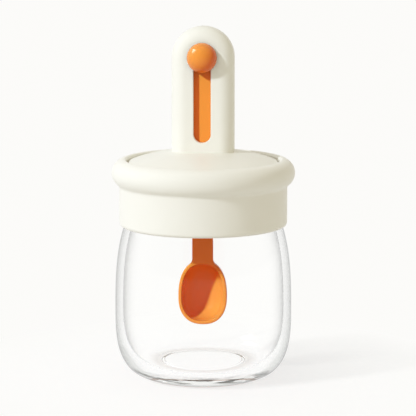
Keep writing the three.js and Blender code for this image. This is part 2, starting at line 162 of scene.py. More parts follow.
KNOB_RADIUS = 6.9
KNOB_STAND_OFF = 1.0
KNOB_RISE = 0.5
KNOB_EDGE_ROUND = 0.35
KNOB_EDGE_LEAN = 0.9
PEG_RADIUS = 2.4
PAD_WIDTH = 6.0
PAD_LENGTH = 8.0
PAD_POCKET = 1.2
PAD_DROP = 12.0

# What follows from the sizes, as in the part's source.
MOUTH = NECK_RADIUS - NECK_WALL
PLUG_RADIUS = MOUTH - PLUG_GAP
FIN_RADIUS = MOUTH - FIN_GAP
SEAT_RADIUS = MOUTH + SEAT_INSET
RING_INNER = NECK_RADIUS + THREAD_HEIGHT + THREAD_WALL_GAP
RING_OUTER = RING_INNER + RING_WALL
SKIRT_INNER = RING_OUTER + SNAP_GAP
SKIRT_RADIUS = SKIRT_INNER + SKIRT_WALL
JAR_SHOULDER = SKIRT_INNER - SLIDE_GAP
LIP_RADIUS = SKIRT_INNER - LIP_WALL
ROLL_R = LIP_RADIUS + ROLL_INSET
LID_RADIUS = LIP_RADIUS - LID_GAP
NECK_FOOT = JAR_HEIGHT - NECK_LENGTH
THREAD_START = JAR_HEIGHT - THREAD_DROP
RING_BOTTOM = NECK_FOOT - RING_BELOW_NECK
SKIRT_BOTTOM = RING_BOTTOM - SKIRT_BELOW_RING
SEAT = JAR_HEIGHT + GASKET_THICKNESS + SEAT_THICKNESS
ROLL_Z = SEAT - ROLL_DROP
PLUG_BOTTOM = SEAT - PLUG_DEPTH
LID_EDGE = SEAT + LID_EDGE_HEIGHT
HANDLE_TOP = LID_EDGE + HANDLE_RISE
HANDLE_HALF = HANDLE_WIDTH / 2
ARCH_Z = HANDLE_TOP - HANDLE_HALF
KNOB_Z = ARCH_Z + KNOB_RISE
SLOT_LOW = LID_EDGE + SLOT_FOOT_RISE
BOWL_BOTTOM = FLOOR + SPOON_TRAVEL + BOWL_FLOOR_GAP
BOWL_WIDEST = BOWL_BOTTOM + BOWL_LENGTH * BOWL_WIDEST_SHARE
FACE = -HANDLE_DEPTH / 2
STEM_FRONT = FACE + HANDLE_WALL + SLIDE_GAP
STEM_BACK = STEM_FRONT + STEM_THICKNESS

AROUND = 256  # steps in a full turn
EDGE_STRIP = 0.35  # flat strip beside a rounded edge, which keeps the shading of the face even


# ---- Mesh helpers -------------------------------------------------------------------------------


def mesh_object(name, points, faces):
    """An object from points in millimetres."""
    mesh = bpy.data.meshes.new(name)
    mesh.from_pydata([(x * MM, y * MM, z * MM) for x, y, z in points], [], faces)
    mesh.update()
    thing = bpy.data.objects.new(name, mesh)
    bpy.context.collection.objects.link(thing)
    return thing


def along(steps, make):
    return [make(i / steps) for i in range(steps + 1)]


def arc(r, z, radius, start, end, steps):
    return along(steps, lambda t: (
        r + radius * math.cos(start + (end - start) * t),
        z + radius * math.sin(start + (end - start) * t),
    ))


def lathe(name, profile, steps=AROUND, grow=None):
    """Turns an anticlockwise profile of (radius, height). grow adds to the radius."""
    points, rings = [], []
    for index, (r, z) in enumerate(profile):
        first = len(points)
        if r < 1e-9:
            points.append((0.0, 0.0, z))
            rings.append([first])
            continue
        for i in range(steps):
            angle = TURN * i / steps
            reach = r + (grow(index, angle, z) if grow else 0.0)
            points.append((reach * math.cos(angle), reach * math.sin(angle), z))
        rings.append(list(range(first, first + steps)))
    pairs = list(zip(rings, rings[1:]))
    if profile[0][0] > 1e-9:
        pairs.append((rings[-1], rings[0]))
    faces = []
    for low, high in pairs:
        for i in range(steps):
            j = (i + 1) % steps
            if len(low) == 1:
                faces.append((low[0], high[j], high[i]))
            elif len(high) == 1:
                faces.append((low[i], low[j], high[0]))
            else:
                faces.append((low[i], low[j], high[j], high[i]))
    return mesh_object(name, points, faces)


def band(first, count):
    """Faces between two layers of points that follow each other."""
    pairs = [(first + i, first + (i + 1) % count) for i in range(count)]
    return [(a, a + count, b + count, b) for a, b in pairs]


def layered(name, layers):
    """A solid through layers of points, front to back, each anticlockwise from the front."""
    points = [p for layer in layers for p in layer]
    count = len(layers[0])
    faces = [tuple(range(count))]
    for k in range(len(layers) - 1):
        faces += band(k * count, count)
    last = (len(layers) - 1) * count
    faces.append(tuple(last + i for i in reversed(range(count))))
    return mesh_object(name, points, faces)


def plate(name, outline, front, back, edge, steps):
    """Carries outline(inset), a list of (x, z), from front to back with its edges rounded."""
    turn = along(steps, lambda t: (
        edge * (1 - math.sin(QUARTER * t)),
        edge * (1 - math.cos(QUARTER * t)),
    ))
    rings = [
        (edge + EDGE_STRIP, front),
        *[(inset, front + depth) for inset, depth in turn],
        (0.0, front + edge + EDGE_STRIP),
        (0.0, back - edge - EDGE_STRIP),
        *[(inset, back - depth) for inset, depth in reversed(turn)],
        (edge + EDGE_STRIP, back),
    ]
    return layered(name, [[(x, y, z) for x, z in outline(inset)] for inset, y in rings])


def join(target, other, operation):
    """Joins or cuts one closed solid with another, which is then deleted."""
    step = target.modifiers.new(operation, "BOOLEAN")
    step.operation = operation
    step.object = other
    step.solver = "MANIFOLD"
    bake(target)
    old = other.data
    bpy.data.objects.remove(other)
    bpy.data.meshes.remove(old)
    return target


def bake(thing):
    """Puts the result of an object's modifiers into its mesh."""
    bpy.context.view_layer.update()
    shown = thing.evaluated_get(bpy.context.evaluated_depsgraph_get())
    made = bpy.data.meshes.new_from_object(shown)
    old = thing.data
    thing.modifiers.clear()
    name = old.name
    thing.data = made
    bpy.data.meshes.remove(old)
    made.name = name


def smooth(thing, angle=32, weighted=False):
    """Smooth shading, with sharp edges where faces meet at more than the angle."""
    mesh = thing.data
    mesh.shade_smooth()
    mesh.set_sharp_from_angle(angle=math.radians(angle))
    if weighted:
        step = thing.modifiers.new("normals", "WEIGHTED_NORMAL")
        step.mode = "FACE_AREA"
        step.keep_sharp = True
        bake(thing)
    return thing


def dress(thing, body, slot, material, *nodes):
    """Says what a piece rides on, which nodes it stands for and what it is made of."""
    thing.data.materials.clear()
    thing.data.materials.append(material)
    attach(thing, body)
    if nodes:
        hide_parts(*nodes)


# ---- Materials ----------------------------------------------------------------------------------

WHITE = (1, 1, 1)
BLACK = (0, 0, 0)

MIDDLE = (0.3, 0.7)  # where a noise has most of its values
CLOUD_SCALE = 90
SHEEN_SCALE = 420
GRAIN_SCALE = 2600
GRAIN_DEPTH = 0.00015
FLESH_RADIUS = (1.0, 0.8, 0.55)
FLESH_SCALE = 0.0012

GLASS_TINT = (1.0, 0.999, 0.997)
# Painted shade for glass seen edge on, in place of the dark surroundings that it shows there.
GLASS_PAINTED_EDGE = (0.02, 0.021, 0.024)
GLASS_DEEP = (0.98, 0.985, 0.98)
GLASS_SHADE = (1.0, 1.0, 1.0)
GLASS_SHADE_EDGE = (0.7, 0.7, 0.69)
GLASS_SHADOW = (0.76, 0.76, 0.755)
# Colour of the painted dark streaks on the heel.
GLASS_PAINTED_STREAK = (0.05, 0.05, 0.045)
GLASS_GLOSS = 0.25
GLASS_INDEX = 1.5
SLANT_RANGE = (0.42, 0.88)
UPRIGHT_RANGE = (0.9, 0.4)
WAVE_SCALE = 45
WAVE_STRENGTH = 0.012
WAVE_DEPTH = 0.0004
# Where and how the painted heel streaks lie.
STREAK_TURN = math.radians(-12)
STREAK_SCALE = 85
STREAK_STRETCH = 9
STREAK_RANGE = (0.46, 0.56)
HEEL_LOW = (0.0018, 0.003)
HEEL_HIGH = (0.0075, 0.0052)

# The most surfaces that a ray may have met and still count as this, plus a half.
SEEN_DIRECTLY = 0.5
BEHIND_ONE_SURFACE = 1.5
BEHIND_TWO_SURFACES = 2.5
GLASS_BOUNCES = 4.5


def new_material(name):
    mat = bpy.data.materials.new(name)
    mat.use_nodes = True
    return mat, mat.node_tree, mat.node_tree.nodes["Principled BSDF"]


def noise(tree, scale, detail=3.0, roughness=0.55):
    place = tree.nodes.new("ShaderNodeTexCoord")
    made = tree.nodes.new("ShaderNodeTexNoise")
    made.inputs["Scale"].default_value = scale
    made.inputs["Detail"].default_value = detail
    made.inputs["Roughness"].default_value = roughness
    tree.links.new(place.outputs["Object"], made.inputs["Vector"])
    return made.outputs["Fac"]


def ranged(tree, source, start, end, low=0.0, high=1.0):
    """Goes from low to high while the source goes from start to end, and stays there."""
    made = tree.nodes.new("ShaderNodeMapRange")
    made.inputs["From Min"].default_value = start
    made.inputs["From Max"].default_value = end
    made.inputs["To Min"].default_value = low
    made.inputs["To Max"].default_value = high
    tree.links.new(source, made.inputs["Value"])
    return made.outputs["Result"]


def feed(tree, socket, value):
    """Gives a colour input a plain colour, or links it to a socket."""
    if isinstance(value, tuple):
        socket.default_value = (*value, 1)
    else:
        tree.links.new(value, socket)


def blend(tree, source, a, b):
    """Goes from colour a to colour b with the source. Each is a socket or a plain colour."""
    made = tree.nodes.new("ShaderNodeMix")
    made.data_type = "RGBA"
    tree.links.new(source, made.inputs["Factor"])
    feed(tree, made.inputs["A"], a)
    feed(tree, made.inputs["B"], b)
    return made.outputs["Result"]


def mixed(tree, how, a, b):
    made = tree.nodes.new("ShaderNodeMix")
    made.data_type = "RGBA"
    made.blend_type = how
    made.inputs["Factor"].default_value = 1.0
    tree.links.new(a, made.inputs["A"])
    tree.links.new(b, made.inputs["B"])
    return made.outputs["Result"]


def reckoned(tree, how, first, second):
    """One step of arithmetic between two sockets, or a socket and a plain number."""
    step = tree.nodes.new("ShaderNodeMath")
    step.operation = how
    tree.links.new(first, step.inputs[0])
    if isinstance(second, float):
        step.inputs[1].default_value = second
    else:
        tree.links.new(second, step.inputs[1])
    return step.outputs[0]


def multiplied(tree, first, *others):
    for other in others:
        first = reckoned(tree, "MULTIPLY", first, other)
    return first


def light_path(tree, name):
    return tree.nodes.new("ShaderNodeLightPath").outputs[name]


def deeper(tree, surfaces):
    """1 for rays that have met more surfaces than this, and 0 for others."""
    return reckoned(tree, "GREATER_THAN", light_path(tree, "Ray Depth"), surfaces)


def rough_normal(tree, shader, scale, strength, depth):
    bump = tree.nodes.new("ShaderNodeBump")
    bump.inputs["Strength"].default_value = strength
    bump.inputs["Distance"].default_value = depth
    tree.links.new(noise(tree, scale, 2), bump.inputs["Height"])
    tree.links.new(bump.outputs["Normal"], shader.inputs["Normal"])


def plastic(name, light, dark, rough, grain=0.03, specular=0.5, subsurface=0.0, bounced=None):
    """Moulded plastic: a faint cloudiness, a fine moulded grain and uneven sheen.

    bounced is its colour for the light that it throws on other pieces, where that is another.
    """
    mat, tree, shader = new_material(name)
    shown = blend(tree, ranged(tree, noise(tree, CLOUD_SCALE, 4), *MIDDLE), light, dark)
    if bounced:
        shown = blend(tree, light_path(tree, "Is Diffuse Ray"), shown, bounced)
    tree.links.new(shown, shader.inputs["Base Color"])
    sheen = ranged(tree, noise(tree, SHEEN_SCALE, 3), *MIDDLE, *rough)
    tree.links.new(sheen, shader.inputs["Roughness"])
    rough_normal(tree, shader, GRAIN_SCALE, grain, GRAIN_DEPTH)
    shader.inputs["Specular IOR Level"].default_value = specular
    if subsurface:
        shader.inputs["Subsurface Weight"].default_value = subsurface
        shader.inputs["Subsurface Radius"].default_value = FLESH_RADIUS
        shader.inputs["Subsurface Scale"].default_value = FLESH_SCALE
    return mat


def glass(name):
    """Clear pressed glass with painted shade where seen edge on, which lets the lamps through."""
    mat, tree, shader = new_material(name)
    edge = tree.nodes.new("ShaderNodeLayerWeight")
    edge.inputs["Blend"].default_value = 0.5
    slant = ranged(tree, edge.outputs["Facing"], *SLANT_RANGE)
    surface = tree.nodes.new("ShaderNodeNewGeometry")
    parts = tree.nodes.new("ShaderNodeSeparateXYZ")
    tree.links.new(surface.outputs["Normal"], parts.inputs[0])
    upright = ranged(tree, parts.outputs["Z"], *UPRIGHT_RANGE)
    share = multiplied(tree, slant, slant, upright)
    # Painted shade: upright walls seen edge on are greyed, in place of dark surroundings.
    tint_and_painted_edge = blend(tree, share, GLASS_TINT, GLASS_PAINTED_EDGE)
    # Painted shade: dark streaks on the heel, only on the surface that a ray meets first.
    painted_streaks = blend(tree, painted_heel_streaks(tree), WHITE, GLASS_PAINTED_STREAK)
    painted_streaks = blend(tree, deeper(tree, SEEN_DIRECTLY), painted_streaks, WHITE)
    tree.links.new(mixed(tree, "MULTIPLY", tint_and_painted_edge, painted_streaks), shader.inputs["Base Color"])
    shader.inputs["Specular Tint"].default_value = (GLASS_GLOSS, GLASS_GLOSS, GLASS_GLOSS, 1)
    shader.inputs["Transmission Weight"].default_value = 1.0
    shader.inputs["IOR"].default_value = GLASS_INDEX
    shader.inputs["Roughness"].default_value = 0.0
    rough_normal(tree, shader, WAVE_SCALE, WAVE_STRENGTH, WAVE_DEPTH)
    seen = shader.outputs["BSDF"]
    seen = mixed_with_clear(tree, seen, deeper(tree, GLASS_BOUNCES), GLASS_DEEP)
    seen = mixed_with_clear(tree, seen, light_path(tree, "Is Diffuse Ray"), WHITE)
    inside = blend(tree, share, GLASS_SHADE, GLASS_SHADE_EDGE)
    shade = blend(tree, deeper(tree, BEHIND_ONE_SURFACE), GLASS_SHADOW, inside)
    lit = mixed_with_clear(tree, seen, light_path(tree, "Is Shadow Ray"), shade)
    tree.links.new(lit, tree.nodes["Material Output"].inputs["Surface"])
    return mat


def painted_heel_streaks(tree):
    """Mask of painted shade: dark streaks on the heel, in place of those that refraction draws."""
    place = tree.nodes.new("ShaderNodeTexCoord")
    parts = tree.nodes.new("ShaderNodeSeparateXYZ")
    tree.links.new(place.outputs["Object"], parts.inputs[0])
    low = ranged(tree, parts.outputs["Z"], *HEEL_LOW)
    high = ranged(tree, parts.outputs["Z"], *HEEL_HIGH)
    drawn = tree.nodes.new("ShaderNodeMapping")
    drawn.inputs["Scale"].default_value = (1, 1, STREAK_STRETCH)
    drawn.inputs["Rotation"].default_value = (0, 0, STREAK_TURN)
    tree.links.new(place.outputs["Object"], drawn.inputs["Vector"])
    waves = tree.nodes.new("ShaderNodeTexNoise")
    waves.inputs["Scale"].default_value = STREAK_SCALE
    waves.inputs["Detail"].default_value = 2
    tree.links.new(drawn.outputs["Vector"], waves.inputs["Vector"])
    return multiplied(tree, low, high, ranged(tree, waves.outputs["Fac"], *STREAK_RANGE))


def mixed_with_clear(tree, surface, share, colour):
    """Lets the share of the rays go straight on, in the colour."""
    clear = tree.nodes.new("ShaderNodeBsdfTransparent")
    feed(tree, clear.inputs["Color"], colour)
    return mixed_shaders(tree, share, surface, clear.outputs["BSDF"])


def mixed_shaders(tree, share, first, second):
    mix = tree.nodes.new("ShaderNodeMixShader")
    tree.links.new(share, mix.inputs["Fac"])
    tree.links.new(first, mix.inputs[1])
    tree.links.new(second, mix.inputs[2])
    return mix.outputs["Shader"]


# Each has two close colours for the cloudiness and the range of its roughness.
CREAM = plastic(
    "cream_plastic", (0.938, 0.922, 0.85), (0.93, 0.914, 0.84), (0.37, 0.42), specular=0.35)
COLLAR_CREAM = plastic(
    "collar_plastic", (0.965, 0.948, 0.882), (0.957, 0.94, 0.872), (0.37, 0.42), specular=0.35)
NATURAL = plastic(
    "natural_plastic", (0.86, 0.85, 0.81), (0.82, 0.81, 0.77), (0.42, 0.52), subsurface=0.2)
HONEY = plastic("honey_plastic", (0.95, 0.62, 0.22), (0.92, 0.6, 0.21), (0.42, 0.52))
SILICONE = plastic(
    "silicone", (0.82, 0.82, 0.8), (0.78, 0.78, 0.76), (0.5, 0.6), subsurface=0.25)
ORANGE = plastic(
    "orange_plastic", (0.83, 0.16, 0.015), (0.82, 0.156, 0.0145), (0.28, 0.31),
    grain=0.02, specular=0.2)
KNOB_ORANGE = plastic(
    "knob_plastic", (0.78, 0.145, 0.014), (0.77, 0.141, 0.0135), (0.22, 0.25),
    grain=0.02, specular=0.3, bounced=(0.25, 0.12, 0.05))
GLASS = glass("clear_glass")


# ---- Glass jar ----------------------------------------------------------------------------------


def wall_radius(z):
    share = max(0.0, (z - JAR_WIDEST) / (SKIRT_BOTTOM - JAR_WIDEST))
    return JAR_RADIUS - (JAR_RADIUS - JAR_SHOULDER) * share**WALL_CURVE


def heel(flat, low, wide, high, steps):
    return along(steps, lambda t: (
        flat + (wide - flat) * math.sin(t * QUARTER) ** HEEL_CURVE,
        low + (high - low) * (1 - max(0.0, math.cos(t * QUARTER)) ** HEEL_CURVE),
    ))


def shoulder(from_r, from_z, to_r, to_z, steps):
    return along(steps, lambda t: (
        to_r + (from_r - to_r) * (1 + math.cos(t * math.pi)) / 2,
        from_z + (to_z - from_z) * t,
    ))


def ridge_rise(angle, z, start, height):
    """How far a screw ridge of one turn stands out at an angle and height."""
    share = angle / TURN
    grown = max(0.0, min(1.0, share / THREAD_LEAD, (1 - share) / THREAD_LEAD))
    away = abs(z - start - PITCH * share)
    side = (THREAD_ROOT / 2 - away) / ((THREAD_ROOT - THREAD_CREST) / 2)
    side = max(0.0, min(1.0, side))
    return height * grown * side * side * (3 - 2 * side)


def make_jar():
    start = NECK_FOOT - SHOULDER_RISE
    inner_radius = JAR_RADIUS - JAR_WALL
    inner_widest = JAR_WIDEST + FLOOR / 2
    inner_start = start - JAR_WALL
    inner_top = wall_radius(inner_start) - JAR_WALL
    rim_z = JAR_HEIGHT - RIM_ROUND
    below = [
        (0, PUNT),
        (FOOT_RADIUS - 2 * FOOT_RING - PUNT_LAND, PUNT),
        *shoulder(FOOT_RADIUS - 2 * FOOT_RING, PUNT, FOOT_RADIUS - FOOT_RING, 0, 10),
        *heel(FOOT_RADIUS, 0, JAR_RADIUS, JAR_WIDEST, 64),
        *along(32, lambda t: (
            wall_radius(JAR_WIDEST + (start - JAR_WIDEST) * t),
            JAR_WIDEST + (start - JAR_WIDEST) * t,
        ))[1:-1],
        *shoulder(wall_radius(start), start, NECK_RADIUS, NECK_FOOT, 20),
    ]
    count = int((rim_z - NECK_FOOT) / NECK_STEP)
    neck = [(NECK_RADIUS, NECK_FOOT + NECK_STEP * k) for k in range(1, count)]
    above = [
        *arc(NECK_RADIUS - RIM_ROUND, rim_z, RIM_ROUND, 0, QUARTER, 8),
        *arc(MOUTH + RIM_ROUND, rim_z, RIM_ROUND, QUARTER, 2 * QUARTER, 8),
        *reversed(shoulder(inner_top, inner_start, MOUTH, NECK_FOOT, 20)),
        *along(28, lambda t: (
            wall_radius(inner_widest + (inner_start - inner_widest) * (1 - t)) - JAR_WALL,
            inner_widest + (inner_start - inner_widest) * (1 - t),
        ))[1:-1],
        *reversed(heel(FLOOR_RADIUS, FLOOR, inner_radius, inner_widest, 56)),
        (0, FLOOR),
    ]
    first, last = len(below), len(below) + len(neck)

    def grow(index, angle, z):
        if first <= index < last:
            return ridge_rise(angle, z, THREAD_START, THREAD_HEIGHT)
        return 0.0

    jar = lathe("jar_glass", below + neck + above, AROUND, grow)
    smooth(jar, 40)
    dress(jar, "jar", "clear_glass", GLASS, "glass_jar")
    return jar


# ---- Collar -------------------------------------------------------------------------------------


def make_gasket():
    inner, outer = MOUTH + GASKET_INSET, RING_INNER - GASKET_GAP
    low, high, turn = JAR_HEIGHT, JAR_HEIGHT + GASKET_THICKNESS, GASKET_ROUND
    profile = [
        *arc(inner + turn, low + turn, turn, 2 * QUARTER, 3 * QUARTER, 4),
        *arc(outer - turn, low + turn, turn, 3 * QUARTER, 4 * QUARTER, 4),
        *arc(outer - turn, high - turn, turn, 0, QUARTER, 4),
        *arc(inner + turn, high - turn, turn, QUARTER, 2 * QUARTER, 4),
    ]
    piece = smooth(lathe("rim_seal", profile, 160), 40)
    dress(piece, "seal", "silicone", SILICONE, "rim_gasket")


def make_collar():
    edge_round = SKIRT_WALL - SKIRT_LAND
    lip_foot = SEAT - RING_SHOULDER_DROP + SNAP_GAP
    reach = ROLL_RADIUS + CREASE_ROUND
    crease_r = SKIRT_RADIUS + CREASE_ROUND
    crease_drop = math.sqrt(reach**2 - (crease_r - ROLL_R) ** 2)
    crease_z = ROLL_Z - crease_drop
    meet = math.atan2(crease_drop, ROLL_R - crease_r)
    hollow = ROLL_RADIUS - ROLL_WALL
    lip_outer = LIP_RADIUS + LIP_WALL
    low_turn = math.acos((SKIRT_INNER - ROLL_R) / hollow)
    high_turn = math.acos((lip_outer - ROLL_R) / hollow)
    bead_top = RING_BOTTOM - SNAP_GAP
    lip_r = LIP_RADIUS + LIP_ROUND
    lip_reach = ROLL_RADIUS - LIP_ROUND
    lip_turn = math.acos((lip_r - ROLL_R) / lip_reach)
    lip_z = ROLL_Z + lip_reach * math.sin(lip_turn)
    profile = [
        (SKIRT_INNER, SKIRT_BOTTOM),
        *arc(SKIRT_RADIUS - edge_round, SKIRT_BOTTOM + edge_round, edge_round, -QUARTER, 0, 12),
        *along(6, lambda t: (
            SKIRT_RADIUS,
            SKIRT_BOTTOM + edge_round + SKIRT_STRIP
            + (crease_z - 2 * SKIRT_STRIP - SKIRT_BOTTOM - edge_round) * t,
        )),
        *arc(crease_r, crease_z, CREASE_ROUND, 2 * QUARTER, meet, 12),
        *arc(ROLL_R, ROLL_Z, ROLL_RADIUS, meet - 2 * QUARTER, lip_turn, 56)[1:],
        *arc(lip_r, lip_z, LIP_ROUND, lip_turn, 2 * QUARTER, 14)[1:],
        (LIP_RADIUS, lip_foot),
        (lip_outer, lip_foot),
        *arc(ROLL_R, ROLL_Z, hollow, high_turn, -low_turn, 16),
        (SKIRT_INNER, bead_top),
        (SKIRT_INNER - CLIP_BEAD, bead_top - CLIP_BEAD / 2),
        (SKIRT_INNER - CLIP_BEAD, bead_top - CLIP_BEAD),
        (SKIRT_INNER, bead_top - CLIP_BEAD_HEIGHT),
    ]
    piece = smooth(lathe("collar", profile), 32)
    dress(piece, "collar", "cream_plastic", COLLAR_CREAM, "collar_shell")
    return piece


def make_thread_ring():
    under, top = SEAT - SEAT_THICKNESS, SEAT - RING_SHOULDER_DROP
    low = [(RING_INNER, RING_BOTTOM), (RING_OUTER, RING_BOTTOM), (RING_OUTER, top),
           (LIP_RADIUS - SNAP_GAP, top), (LIP_RADIUS - SNAP_GAP, SEAT), (SEAT_RADIUS, SEAT),
           (SEAT_RADIUS, under), (RING_INNER, under)]
    count = int((under - RING_BOTTOM) / RING_STEP)
    wall = [(RING_INNER, under - (under - RING_BOTTOM) * k / count) for k in range(1, count)]
    start = THREAD_START - (THREAD_ROOT + THREAD_CREST) / 2 - FLANK_GAP

    def grow(index, angle, z):
        if index < len(low):
            return 0.0
        return -ridge_rise(angle, z, start, RING_INNER - NECK_RADIUS - CREST_GAP)

    piece = smooth(lathe("threaded_ring", low + wall, 192, grow), 40)
    dress(piece, "collar", "natural_plastic", HONEY, "thread_ring")


# ---- Lid ----------------------------------------------------------------------------------------


def dome_height(r):
    return LID_EDGE + LID_CROWN * (1 - (r / LID_RADIUS) ** DOME_CURVE)


def arch(low, centre, half, steps):
    """An upright arch: straight sides from low, and a half circle about the centre's height."""

    def outline(inset):
        r = half - inset
        sides = 12
        points = [(-r, low), (r, low)]
        points += [(r, low + (centre - low) * k / sides) for k in range(1, sides)]
        points += [(r * math.cos(math.pi * k / steps), centre + r * math.sin(math.pi * k / steps))
                   for k in range(steps + 1)]
        points += [(-r, low + (centre - low) * k / sides) for k in range(sides - 1, 0, -1)]
        return points

    return outline


def slot_outline(half, steps):
    def outline(inset):
        r = half - inset
        top = [(r * math.cos(math.pi * k / steps), KNOB_Z + r * math.sin(math.pi * k / steps))
               for k in range(steps + 1)]
        foot = [(-x, SLOT_LOW + KNOB_Z - z) for x, z in top]
        return top + foot

    return outline


def make_lid():
    edge_end = QUARTER * LID_EDGE_TURN
    edge_r = LID_RADIUS - LID_EDGE_ROUND
    edge_reach = edge_r + LID_EDGE_ROUND * math.cos(edge_end)
    edge_z = dome_height(edge_reach) - LID_EDGE_ROUND * math.sin(edge_end)
    edge = arc(edge_r, edge_z, LID_EDGE_ROUND, 0, edge_end, 10)
    skin = [
        (0, SEAT),
        (LID_RADIUS, SEAT),
        *edge,
        *along(40, lambda t: (edge[-1][0] * (1 - t), dome_height(edge[-1][0] * (1 - t))))[1:],
    ]
    inner = LID_RADIUS - LID_RIM_WALL
    hollow = [
        (0, SEAT - OVERRUN),
        (inner - LID_CLIP, SEAT - OVERRUN),
        (inner - LID_CLIP, SEAT + LID_CLIP_HEIGHT),
        (inner, SEAT + LID_CLIP_HEIGHT),
        *along(24, lambda t: (inner * (1 - t), dome_height(inner * (1 - t)) - LID_WALL)),
    ]
    lid = lathe("lid", skin)
    shape = arch(SEAT + HANDLE_FOOT_RISE, ARCH_Z, HANDLE_HALF, 96)
    body = plate("handle", shape, FACE, -FACE, HANDLE_ROUND, 20)
    join(lid, body, "UNION")
    join(lid, lathe("hollow", hollow, 128), "DIFFERENCE")
    room = plate(
        "room",
        arch(SEAT - HANDLE_DEPTH / 3, ARCH_Z, HANDLE_HALF - HANDLE_WALL, 64),
        FACE + HANDLE_WALL,
        -FACE - HANDLE_WALL,
        ROOM_ROUND,
        8,
    )
    join(lid, room, "DIFFERENCE")
    shape = slot_outline(SLOT_WIDTH / 2, 48)
    layers = [
        (-SLOT_ROUND, FACE - OVERRUN),
        *along(8, lambda t: (
            -SLOT_ROUND * (1 - math.sin(QUARTER * t)),
            FACE - CUT_STEP + SLOT_ROUND * (1 - math.cos(QUARTER * t)),
        )),
        (0.0, FACE + HANDLE_WALL + OVERRUN),
    ]
    slot = layered("slot", [[(x, y, z) for x, z in shape(inset)] for inset, y in layers])
    join(lid, slot, "DIFFERENCE")
    smooth(lid, 32, True)
    dress(lid, "lid", "cream_plastic", CREAM, "lid_shell")


def make_lid_base():
    flange_low = SEAT + LID_CLIP_HEIGHT + SNAP_GAP / 2
    flange_r = LID_RADIUS - LID_RIM_WALL - SNAP_GAP
    groove_low = PLUG_BOTTOM + GROOVE_RISE
    groove_r = PLUG_RADIUS - GROOVE_DEPTH
    turn = PLUG_ROUND
    profile = [
        (0, PLUG_BOTTOM),
        *arc(PLUG_RADIUS - turn, PLUG_BOTTOM + turn, turn, -QUARTER, 0, 6),
        (PLUG_RADIUS, groove_low),
        (groove_r, groove_low),
        (groove_r, groove_low + GROOVE_WIDTH),
        (PLUG_RADIUS, groove_low + GROOVE_WIDTH),
        (PLUG_RADIUS, flange_low),
        (flange_r, flange_low),
        (flange_r, flange_low + BASE_FLANGE),
        (PLUG_RADIUS - PLUG_WALL, flange_low + BASE_FLANGE),
        (PLUG_RADIUS - PLUG_WALL, PLUG_BOTTOM + PLUG_FLOOR),
        (0, PLUG_BOTTOM + PLUG_FLOOR),
    ]
    base = lathe("plug", profile, 192)
    half = STEM_WIDTH / 2 + SLIDE_GAP + WIPER_WALL + SNAP_GAP
    near = STEM_FRONT - SLIDE_GAP - WIPER_WALL - SNAP_GAP
    far = STEM_BACK + SLIDE_GAP + WIPER_WALL + SNAP_GAP
    low, high = PLUG_BOTTOM - OVERRUN, PLUG_BOTTOM + PLUG_FLOOR + OVERRUN
    hole = layered("hole", [
        [(-half, y, low), (half, y, low), (half, y, high), (-half, y, high)] for y in (near, far)
    ])
    join(base, hole, "DIFFERENCE")
    smooth(base, 32, True)
    dress(base, "lid", "natural_plastic", NATURAL, "lid_base")


def make_plug_seal():
    inner = PLUG_RADIUS - GROOVE_DEPTH + SNAP_GAP / 2
    body = PLUG_RADIUS + SNAP_GAP / 2
    low = PLUG_BOTTOM + GROOVE_RISE + SNAP_GAP / 2
    high = low + GROOVE_WIDTH - SNAP_GAP
    fin = FIN_THICKNESS
    tip = [FIN_RADIUS - FIN_TIP, FIN_RADIUS, FIN_RADIUS - FIN_TIP]
    profile = [
        (inner, low),
        (body, low),
        *[(r, low + fin * share) for r, share in zip(tip, LOW_FIN)],
        (body, low + 2 * fin),
        (body, high - fin),
        *[(r, high - fin * share) for r, share in zip(tip, HIGH_FIN)],
        (inner, high),
    ]
    piece = smooth(lathe("plug_ring", profile, 192), 50)
    dress(piece, "lid", "silicone", SILICONE, "plug_seal")


# ---- Spoon and knob -----------------------------------------------------------------------------


def signed_power(value, power):
    return math.copysign(abs(value) ** power, value)


def rim_point(angle, inset, shrink=1.0):
    lower = BOWL_LENGTH * BOWL_WIDEST_SHARE
    above = math.sin(angle) > 0
    reach = (BOWL_LENGTH - lower if above else lower) - inset
    share = BOWL_TOP_SHARE if above else BOWL_TIP_SHARE
    return (
        (BOWL_WIDTH / 2 - inset) * shrink * signed_power(math.cos(angle), share),
        BOWL_WIDEST + reach * shrink * signed_power(math.sin(angle), share),
    )


def flare_corner():
    """The concave corner between the stem and the bowl: its centre, and where it meets the rim."""
    x = STEM_WIDTH / 2 + BOWL_FLARE
    angles = np.linspace(0, QUARTER, FLARE_SAMPLES)
    rim = np.array([rim_point(a, 0) for a in angles])
    low, high = BOWL_WIDEST, BOWL_BOTTOM + BOWL_LENGTH + BOWL_FLARE
    best = 0
    for _ in range(FLARE_HALVINGS):
        z = (low + high) / 2
        far = np.hypot(rim[:, 0] - x, rim[:, 1] - z)
        best = int(far.argmin())
        if far[best] > BOWL_FLARE:
            high = z
        else:
            low = z
    return x, low, float(angles[best])


def stem_outline(inset):
    x, z, meet = flare_corner()
    meet_x, meet_z = rim_point(meet, 0)
    turn = math.atan2(meet_z - z, meet_x - x) % TURN
    top = KNOB_Z + STEM_TOP_RISE
    side = [
        *along(40, lambda t: rim_point(meet * t, inset))[:-1],
        *arc(x, z, BOWL_FLARE + inset, turn, 2 * QUARTER, 24),
        *along(10, lambda t: (STEM_WIDTH / 2 - inset, z + (top - inset - z) * t))[1:],
    ]
    return side + [(-a, b) for a, b in reversed(side)]


